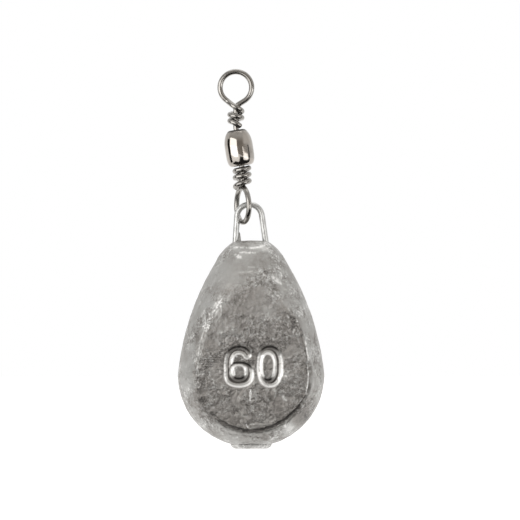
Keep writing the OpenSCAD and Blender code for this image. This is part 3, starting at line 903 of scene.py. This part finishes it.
def wear_masks(x, z, front, pits, breaks):
    """How deep the marks are at each point, how bright its scratches and painted highlights make it, and how
    dark its patches are.
    """
    marks, shine, patches = np.zeros((3, len(x)))
    shifted_x, shifted_z = x + MARK_SHIFT * pits, z + MARK_SHIFT * breaks
    for line, width, depth, bright in MARKS:
        away = line_distance(shifted_x, shifted_z, np.array(line) * MM)
        mask = ease(MARK_REACH - away / (width * MM)) * ease(1.1 + 1.6 * breaks)
        marks += mask * depth * MM
        shine = np.maximum(shine, mask * bright)
    for line, width, bright in GLINTS:
        away = line_distance(shifted_x, shifted_z, np.array(line) * MM)
        shine = np.maximum(shine, ease(MARK_REACH - away / (width * MM)) * front * bright)
    for patch_x, patch_z, radius, tone in PATCHES:
        patches += tone * patch_mask(x, z, patch_x, patch_z, radius)
    return marks, shine, patches


def capped(points, rows, columns):
    """Points and faces of a grid that closes round its columns, with a fan over each end."""
    points = np.concatenate([points, [points[:columns].mean(0), points[-columns:].mean(0)]])
    bottom, top = len(points) - 2, len(points) - 1
    last = (rows - 1) * columns
    faces = grid_faces(rows, columns)
    faces += [(bottom, (k + 1) % columns, k) for k in range(columns)]
    faces += [(top, last + k, last + (k + 1) % columns) for k in range(columns)]
    return points, faces


def lead_mesh(size, digits):
    """The whole lead: its points, its faces, and the masks that its finish is painted with."""
    grid, panel, ledge = lead_surface(size, digits)
    points, normals = grid.reshape(-1, 3), grid_normals(grid).reshape(-1, 3)
    x, z = points[:, 0], points[:, 2]
    front = points[:, 1] < 0
    waves = field(points, WAVE_GRAIN, 3, 2)
    pits = field(points, PIT_GRAIN, 4, 3)
    folds = field(points * FOLD_STRETCH, FOLD_GRAIN, 3, 4)
    breaks = field(points, BREAK_GRAIN, 3, 5)

    sunk, masks = groove_masks(digits, x, z, front)
    turned_z = np.where(front, z, BACK_TURN - z)
    marks, shine, patches = wear_masks(x, turned_z, front, pits, breaks)
    smooth = patch_mask(x, turned_z, *SMOOTH_SKIN)
    foot = ease(1.5 - z / size.foot_h)
    shine += FOOT_SHINE * foot * (0.6 + 0.4 * np.sin(z / FOOT_LINE_W))

    rings = np.abs(np.sin(math.pi * (z / RING_STEP + 1.2 * waves + 0.15 * folds)))
    rings = np.clip(1 - RING_SHARP * rings, 0, 1) * front * patch_mask(x, z, *RINGED_SKIN)
    creases = np.clip(1 - CREASE_SHARP * np.abs(folds), 0, 1) ** CREASE_POWER * ease(0.8 + 2 * waves)
    creases = np.maximum(creases, RING_DEPTH * rings)
    flat = ease(1 - (FLAT_Y - np.abs(points[:, 1])) / FLAT_EDGE)
    flank = ease((FLAT_Y - np.abs(points[:, 1])) / FLANK_REACH)
    inward = PIT_H * pits * (1 - SMOOTH_CALM * smooth) + CREASE_H * creases * (1 - smooth)
    inward += WAVE_H * waves + FLAT_DROP * flat
    inward *= (1 - GROOVE_CALM * sunk) * (1 - FOOT_CALM * foot) * (1 - FLANK_CALM * flank)
    points = points - normals * (inward + marks)[:, None]
    points[:, 1] += sunk * digits.stroke_depth
    low, high = LEAD_LOW - Vector(LEAD_FOOT), LEAD_HIGH - Vector(LEAD_FOOT) + Vector((0, 0, DOME_H))
    points, faces = capped(np.clip(points, low, high), *panel.shape)
    masks |= {"panel": panel.ravel(), "shine": shine, "ledge": ledge.ravel(), "creases": creases}
    masks |= {"patches": patches, "smooth": smooth}
    return points + LEAD_FOOT, faces, {name: np.append(mask, (0, 0)) for name, mask in masks.items()}


# Places of a colour Mix node's factor, colours and result, whose names repeat
MIX_INPUTS = (0, 6, 7)
MIX_RESULT = 2


class Shade:
    """A socket of a shader's nodes. Python's sums on it add Math nodes, and node adds any other."""

    def __init__(self, tree, socket=None):
        self.tree = tree
        self.socket = socket

    def node(self, kind, settings=None, sockets=None, out=0):
        """Adds a node, sets its settings, then its sockets, and gives one of its outputs."""
        made = self.tree.nodes.new("ShaderNode" + kind)
        for name, value in (settings or {}).items():
            if name == "stops":
                while len(made.color_ramp.elements) < len(value):
                    made.color_ramp.elements.new(1)
                for stop, (place, rgb) in zip(made.color_ramp.elements, value):
                    stop.position = place
                    stop.color = (*rgb, 1)
            else:
                setattr(made, name, value)
        for name, value in (sockets or {}).items():
            if isinstance(value, Shade):
                self.tree.links.new(value.socket, made.inputs[name])
            else:
                made.inputs[name].default_value = value
        return Shade(self.tree, made.outputs[out])

    def math(self, operation, *values):
        """One Math node on some values."""
        return self.node("Math", {"operation": operation}, dict(enumerate(values)))

    def __add__(self, other):
        return self.math("ADD", self, other)

    def __sub__(self, other):
        return self.math("SUBTRACT", self, other)

    def __rsub__(self, other):
        return self.math("SUBTRACT", other, self)

    def __mul__(self, other):
        return self.math("MULTIPLY", self, other)

    def __abs__(self):
        return self.math("ABSOLUTE", self)

    __radd__ = __add__
    __rmul__ = __mul__

    def between(self, low, high):
        """Smooth rise from 0 to 1 as the value goes from low to high."""
        settings = {"interpolation_type": "SMOOTHSTEP"}
        return self.node("MapRange", settings, {"Value": self, "From Min": low, "From Max": high})

    def mix(self, first, second):
        """A colour between two, with this value as the share of the second."""
        sockets = dict(zip(MIX_INPUTS, (self, first, second)))
        return self.node("Mix", {"data_type": "RGBA"}, sockets, MIX_RESULT)


def new_material(name, metallic=1.0):
    """A new material, as its main shader and a Shade to grow its nodes from."""
    material = bpy.data.materials.new(name)
    material.use_nodes = True
    surface = material.node_tree.nodes["Principled BSDF"]
    surface.inputs["Metallic"].default_value = metallic
    return material, surface, Shade(material.node_tree)


def wire_in(surface, name, value):
    """Links a value to one socket of the main shader."""
    value.tree.links.new(value.socket, surface.inputs[name])


def rgba(colour_value):
    """A colour with its alpha."""
    return (*colour_value, 1)


def noise_at(shade, place, grain, detail=4.0, rough=0.55, twist=0.0):
    """Noise from 0 to 1 with grains of the given size."""
    sockets = {"Vector": place, "Scale": 1 / grain, "Detail": detail}
    return shade.node("TexNoise", None, {**sockets, "Roughness": rough, "Distortion": twist})


def add_bump(surface, shade, relief, strength, depth):
    """Gives the main shader a fine relief."""
    bump = shade.node("Bump", None, {"Height": relief, "Strength": strength, "Distance": depth})
    wire_in(surface, "Normal", bump)


# Masks that the lead's mesh carries
LEAD_MASKS = ("panel", "groove", "lip", "under", "valley", "shine", "ledge", "creases", "patches", "smooth")
# Layers of noise on the lead: grain, detail, roughness and distortion
LEAD_NOISES = {
    "stains": (4 * MM, 3, 0.5, 0.5),
    "activity": (3.4 * MM, 2, 0.5, 0.8),
    "clouds": (1.5 * MM, 6, 0.7, 1.2),
    "flakes": (0.8 * MM, 5, 0.7, 2.2),
    "grit": (0.32 * MM, 4, 0.7, 0),
    "folds": (1.1 * MM, 4, 0.6, 2),
}
SPECK_GRAIN = 0.75 * MM
# Depth of the lead's fine relief
LEAD_BUMP = 0.13 * MM
# Places of the lead's colours on its scale of tones, and the skin's own place
TONES = {"lead_dark": 0.05, "lead_dull": 0.42, "lead_pale": 0.68, "lead_bright": 1.0}
SKIN_TONE = 0.6
# How much each mask lightens the lead on that scale, or darkens it below zero: the panel's ledge and the
# grooves' two shaded masks are painted shade, and the bright mask is scratched metal with painted highlights
MASK_TONES = {
    "panel": -0.11, "patches": -0.4, "ledge": -0.5, "under": -0.5, "valley": -0.5, "shine": 0.5,
}
# How much the lead is metal, and how much of that its polished places lose
LEAD_METAL = 0.9
POLISH_METAL = 0.5


def lead_material(finish):
    """As-cast lead: mottled grey, duller on the panel, polished in the grooves, scratched, with painted shade
    and highlights.
    """
    material, surface, shade = new_material("cast_lead")
    place = shade.node("TexCoord", out="Object")
    mask = {name: shade.node("Attribute", {"attribute_name": name}, out="Fac") for name in LEAD_MASKS}
    layers = {name: noise_at(shade, place, *layer) for name, layer in LEAD_NOISES.items()}
    clouds, flakes, grit = layers["clouds"], layers["flakes"], layers["grit"]
    specks = shade.node("TexVoronoi", None, {"Vector": place, "Scale": 1 / SPECK_GRAIN, "Randomness": 1.0})
    activity = (layers["activity"].between(0.4, 0.6) * 0.8 + 0.2) * (1 - mask["smooth"] * 0.7)
    wrinkle = 1 - abs(layers["folds"] - 0.5).between(0, 0.035)
    bright_specks = (1 - specks.between(0.06, 0.2)) * clouds.between(0.48, 0.6)
    flecks = (bright_specks * 0.35 + flakes.between(0.6, 0.7) * 0.3) * (1.7 - mask["panel"] * 0.7)
    mottle = (clouds - 0.5) * -1.5 + (grit - 0.5) * -1.1 + (flakes - 0.5) * 0.8
    mottle = mottle + flecks - wrinkle * 0.14 - mask["creases"] * 0.2
    # The grooves' walls that don't face down are lighter: partly their burnished metal, partly painted
    # highlight
    walls = mask["groove"] * (1 - mask["under"])
    # Painted highlight along the grooves' lips, on the walls that don't face down
    lip_highlight = 0.25 + clouds.between(0.38, 0.6) * 0.25
    level = SKIN_TONE + (layers["stains"] - 0.5) * 0.45 + mottle * activity * (1 - mask["groove"] * 0.4)
    level = level + walls * 0.17 + mask["lip"] * (1 - mask["under"]) * lip_highlight
    for name, tone in MASK_TONES.items():
        level = level + mask[name] * tone
    stops = [(at, tuple(getattr(finish, name))) for name, at in TONES.items()]
    wire_in(surface, "Base Color", shade.node("ValToRGB", {"stops": stops}, {"Fac": level}))
    polish = (walls * (1 - mask["valley"]) + mask["shine"] + level.between(0.75, 1.0)).between(0, 1)
    wire_in(surface, "Metallic", LEAD_METAL - polish * POLISH_METAL)
    wire_in(surface, "Roughness", 0.4 + clouds * 0.2 - mask["groove"] * 0.2)
    relief = clouds * 0.7 + grit * 0.45 + wrinkle * -0.3 + specks * 0.12
    add_bump(surface, shade, relief * activity * (1 - mask["groove"] * 0.8), 1.0, LEAD_BUMP)
    return material


# Grain of the plating's film, ripple and draw marks, how dim the film is, and the depth of the relief
FILM_GRAIN = 1.3 * MM
RIPPLE_GRAIN = 0.55 * MM
DRAW_GRAIN = 0.09 * MM
FILM_SHARE = 0.72
PLATING_BUMP = 0.05 * MM
# Painted shade round each of the barrel's mouths: its radius, how softly it ends, and its colour
MOUTH_SHADE_R = 1.6 * MM
MOUTH_SHADE_SOFT = 0.35 * MM
MOUTH_SHADE_TINT = (0.05, 0.045, 0.04)


def plated_material(name, tint, metallic, smooth, waves, mouths=False):
    """Plated wire or barrel: bright, faintly wavy with fine draw marks, and with painted shade in the
    barrel's mouths.
    """
    material, surface, shade = new_material(name, metallic)
    place = shade.node("TexCoord", out="Object")
    film = noise_at(shade, place, FILM_GRAIN, 4, 0.6)
    ripple = noise_at(shade, place, RIPPLE_GRAIN, 2, 0.5)
    draw_marks = noise_at(shade, place, DRAW_GRAIN, 2, 0.5)
    skin = film.between(0.42, 0.75).mix(rgba(tint), rgba(FILM_SHARE * c for c in tint))
    rough = smooth + film * 0.1
    if mouths:
        out = shade.node("VectorMath", {"operation": "SUBTRACT"}, {0: place, 1: BARREL_TOP})
        reach = shade.node("VectorMath", {"operation": "CROSS_PRODUCT"}, {0: out, 1: BARREL_AXIS})
        reach = shade.node("VectorMath", {"operation": "LENGTH"}, {0: reach}, "Value")
        # Painted shade round the barrel's mouths
        unshaded = (reach + (film - 0.5) * MOUTH_SHADE_SOFT).between(MOUTH_SHADE_R - MOUTH_SHADE_SOFT, MOUTH_SHADE_R)
        skin = unshaded.mix(rgba(MOUTH_SHADE_TINT), skin)
        rough = rough + (1 - unshaded) * 0.5
        wire_in(surface, "Metallic", unshaded * 0.8 + 0.2)
    wire_in(surface, "Base Color", skin)
    wire_in(surface, "Roughness", rough)
    add_bump(surface, shade, ripple + draw_marks * 0.08, waves, PLATING_BUMP)
    return material


class SinkerOperator:
    """What the operators share."""

    bl_options = {"REGISTER", "UNDO"}


class SINKER_OT_lead(SinkerOperator, bpy.types.Operator):
    """Builds the cast lead with its panel, numerals, seam and marks, and its fin beside the loop"""

    bl_idname = "sinker.lead"
    bl_label = "Cast lead"

    def execute(self, context):
        scene = context.scene
        points, faces, masks = lead_mesh(scene.sinker_lead, scene.sinker_numerals)
        material = lead_material(scene.sinker_finishes)
        lead = make_mesh(
            "cast_lead_body", points, faces, material, "sinker", "cast_lead", "lead_body", ALL_SMOOTH
        )
        for name, mask in masks.items():
            layer = lead.data.attributes.new(name, "FLOAT", "POINT")
            layer.data.foreach_set("value", mask.astype(np.float32))
        make_mesh("lead_flash", *flash_tube(scene.sinker_loop), material, "sinker", "cast_lead")
        return {"FINISHED"}


class SINKER_OT_loop(SinkerOperator, bpy.types.Operator):
    """Bends the tinned wire loop that is cast into the lead"""

    bl_idname = "sinker.loop"
    bl_label = "Wire loop"

    def execute(self, context):
        scene = context.scene
        material = plated_material("tinned_wire", scene.sinker_finishes.tin, 0.8, 0.26, 0.15)
        loop = loop_tube(scene.sinker_loop)
        make_mesh("tinned_loop", *loop, material, "sinker", "tinned_wire", "wire_loop")
        return {"FINISHED"}


class SINKER_OT_swivel(SinkerOperator, bpy.types.Operator):
    """Builds the swivel: its barrel and its two wire-wrapped eyes"""

    bl_idname = "sinker.swivel"
    bl_label = "Barrel swivel"

    def execute(self, context):
        scene = context.scene
        size, finish = scene.sinker_swivel, scene.sinker_finishes
        plating = plated_material("barrel_plating", finish.nickel, 1.0, 0.05, 0.12, mouths=True)
        wire = plated_material("eye_wire", finish.nickel_wire, 1.0, 0.14, 0.1)
        shell = barrel_shell(size)
        make_mesh("plated_barrel", *shell, plating, "barrel", "barrel_plating", "swivel_barrel")
        upper = line_eye_tube(size, scene.sinker_line_eye)
        make_mesh("upper_eye_wire", *upper, wire, "line_eye", "eye_wire", "line_eye")
        lower = link_eye_tube(size, scene.sinker_link_eye)
        make_mesh("lower_eye_wire", *lower, wire, "link_eye", "eye_wire", "link_eye")
        return {"FINISHED"}


def area_lamp(name, place, aim, wide, high, radiance):
    """A soft lamp that faces a point and isn't seen by the camera itself."""
    light = bpy.data.lights.new(name, "AREA")
    light.shape = "RECTANGLE"
    light.size = wide
    light.size_y = high
    light.energy = radiance * math.pi * wide * high
    lamp = add_object(name, light)
    lamp.location = place
    lamp.rotation_euler = (Vector(aim) - Vector(place)).to_track_quat("-Z", "Y").to_euler()
    lamp.visible_camera = False


# Lamps: name, direction from the sinker as azimuth and elevation, distance, width, height and radiance
LAMPS = (
    ("left_window", -45, 2, 0.34, 0.39, 0.33, 2.3),
    ("right_window", 45, 2.3, 0.1, 0.072, 0.042, 2.3),
    ("overhead", 180, 78, 0.34, 0.3, 0.3, 1.1),
)

# The room's light round the horizon, from behind by left, front and right to behind: place and colour
ROOM = (
    (0.0, (1.0, 1.0, 1.0)),
    (0.24, (0.95, 0.95, 0.95)),
    (0.27, (0.5, 0.48, 0.46)),
    (0.45, (0.42, 0.4, 0.38)),
    (0.475, (0.34, 0.31, 0.28)),
    (0.61, (0.34, 0.31, 0.28)),
    (0.66, (0.45, 0.43, 0.41)),
    (0.72, (0.45, 0.44, 0.43)),
    (0.76, (0.95, 0.95, 0.95)),
    (1.0, (1.0, 1.0, 1.0)),
)
ROOM_TOP = (0.68, 0.67, 0.66)
ROOM_RIGHT = (0.85, 0.83, 0.81)
WHITE = (1.0, 1.0, 1.0)
# Kinds of ray to which the white background shows
RAYS = ("Camera", "Glossy", "Transmission")
# Grey and glow of the floor, and grey of the felt
FLOOR_GREY = (0.8, 0.8, 0.8)
FLOOR_GLOW = 0.6
FELT_GREY = (0.03, 0.03, 0.03)


def studio_world():
    """A white room with a dim side behind the camera, where the camera itself sees plain white."""
    world = bpy.data.worlds.new("studio")
    world.use_nodes = True
    shade = Shade(world.node_tree)
    way = shade.node("TexCoord", out="Generated")
    right, back, up = [shade.node("SeparateXYZ", None, {"Vector": way}, out=axis) for axis in "XYZ"]
    round_way = shade.math("ARCTAN2", right, back * -1) * (0.5 / math.pi) + 0.5
    room = shade.node("ValToRGB", {"stops": ROOM}, {"Fac": round_way})
    room = up.between(0.25, 0.75).mix(room, rgba(ROOM_TOP))
    room = (right.between(0.45, 0.8) * up.between(0.08, 0.3)).mix(room, rgba(ROOM_RIGHT))
    camera, glossy, clear = [shade.node("LightPath", out=f"Is {kind} Ray") for kind in RAYS]
    seen = (camera + (glossy + clear) * back.between(0.1, 0.5)).mix(room, rgba(WHITE))
    wire_in(world.node_tree.nodes["Background"], "Color", seen)
    bpy.context.scene.world = world


def matt_material(name, grey, rough):
    """A matt material of the stage, as its main shader and a Shade to grow its nodes from."""
    material, surface, shade = new_material(name, metallic=0.0)
    surface.inputs["Base Color"].default_value = rgba(grey)
    surface.inputs["Roughness"].default_value = rough
    surface.inputs["Specular IOR Level"].default_value = 0.0
    return material, surface, shade


def floor_material():
    """Pale floor that shows white, apart from the sinker's shadow."""
    material, surface, shade = matt_material("pale_floor", FLOOR_GREY, 0.9)
    surface.inputs["Emission Strength"].default_value = 1.0
    camera, glossy, clear = [shade.node("LightPath", out=f"Is {kind} Ray") for kind in RAYS]
    wire_in(surface, "Emission Color", (camera + glossy + clear) * FLOOR_GLOW)
    return material


def card(name, corners, material):
    """A flat part of the stage with four corners."""
    mesh = bpy.data.meshes.new(name)
    mesh.from_pydata(corners, [], [(0, 1, 2, 3)])
    mesh.materials.append(material)
    made = add_object(name, mesh)
    return made


# Black cards that keep the metals' edges and undersides dark, as a studio's flags do: two lie just over the
# floor in front, and two stand at the sides. Each has three corners here, and the fourth completes it
FLAGS = (
    ("front_flag", (-0.02, -0.5, -0.066), (0.3, -0.5, -0.066), (-0.02, -0.0075, -0.066)),
    ("near_flag", (-0.08, -0.08, -0.066), (-0.02, -0.08, -0.066), (-0.08, -0.0075, -0.066)),
    ("left_flag", (-0.1, -0.025, -0.066), (-0.1, 0.02, -0.066), (-0.1, -0.025, 0.019)),
    ("right_flag", (0.1, -0.025, -0.066), (0.1, -0.009, -0.066), (0.1, -0.025, 0.01)),
)


# Width of the camera's sensor in millimetres
SENSOR_W = 36.0
# Where the view starts, as a share of the camera's distance, and where it ends, in widths of the floor
CLIP_SHARE = 0.01
CLIP_FLOORS = 3


class SINKER_OT_stage(SinkerOperator, bpy.types.Operator):
    """Sets up the camera, the lamps, the white room and the floor"""

    bl_idname = "sinker.stage"
    bl_label = "Stage"

    def execute(self, context):
        size = context.scene.sinker_stage
        middle = Vector((size.middle_x, 0, -size.middle_drop))
        lens = bpy.data.cameras.new("view")
        lens.lens = size.lens
        lens.sensor_width = SENSOR_W
        away = size.view_w * size.lens / SENSOR_W
        lens.clip_start = away * CLIP_SHARE
        lens.clip_end = size.floor_w * CLIP_FLOORS
        camera = add_object("view", lens)
        camera.location = middle - Vector((0, away, 0))
        camera.rotation_euler = (math.pi / 2, 0, 0)
        context.scene.camera = camera
        for name, azimuth, elevation, reach, wide, high, radiance in LAMPS:
            a, e = math.radians(azimuth), math.radians(elevation)
            way = Vector((math.sin(a) * math.cos(e), -math.cos(a) * math.cos(e), math.sin(e)))
            area_lamp(name, middle + way * reach, middle, wide, high, radiance)
        studio_world()
        level = LEAD_FOOT[2] - size.floor_drop
        half = size.floor_w / 2
        corners = [(-half, -half, level), (half, -half, level), (half, half, level), (-half, half, level)]
        card("floor", corners, floor_material())
        felt = matt_material("black_felt", FELT_GREY, 1.0)[0]
        for name, *corners in FLAGS:
            first, second, last = [Vector(corner) for corner in corners]
            flag = card(name, [first, second, second + last - first, last], felt)
            for ray in ("camera", "diffuse", "shadow"):
                setattr(flag, "visible_" + ray, False)
        context.scene.view_settings.view_transform = "Standard"
        return {"FINISHED"}


class SINKER_PT_panel(bpy.types.Panel):
    """Lists the sinker's pieces and the stage"""

    bl_idname = "SINKER_PT_panel"
    bl_label = "Sinker"
    bl_space_type = "VIEW_3D"
    bl_region_type = "UI"
    bl_category = "Sinker"

    def draw(self, context):
        for operator in OPERATORS:
            self.layout.operator(operator.bl_idname)
        for name in GROUPS:
            group = getattr(context.scene, name)
            box = self.layout.box()
            box.label(text=group.bl_rna.description or name)
            for field_name in group.__annotations__:
                box.prop(group, field_name)


OPERATORS = (SINKER_OT_stage, SINKER_OT_lead, SINKER_OT_loop, SINKER_OT_swivel)
GROUPS = {
    "sinker_lead": LeadSizes,
    "sinker_numerals": NumeralSizes,
    "sinker_loop": LoopSizes,
    "sinker_line_eye": LineEyeSizes,
    "sinker_link_eye": LinkEyeSizes,
    "sinker_swivel": SwivelSizes,
    "sinker_finishes": Finishes,
    "sinker_stage": StageSizes,
}


def register():
    """Registers the sizes, the operators and the panel."""
    for cls in (*GROUPS.values(), *OPERATORS, SINKER_PT_panel):
        bpy.utils.register_class(cls)
    for name, cls in GROUPS.items():
        setattr(bpy.types.Scene, name, bpy.props.PointerProperty(type=cls))


def unregister():
    """Takes back all that register added."""
    for name in GROUPS:
        delattr(bpy.types.Scene, name)
    for cls in reversed((*GROUPS.values(), *OPERATORS, SINKER_PT_panel)):
        bpy.utils.unregister_class(cls)


def main():
    """Builds the stage and every piece."""
    register()
    bpy.ops.sinker.stage()
    bpy.ops.sinker.lead()
    bpy.ops.sinker.loop()
    bpy.ops.sinker.swivel()


if __name__ == "__main__":
    main()
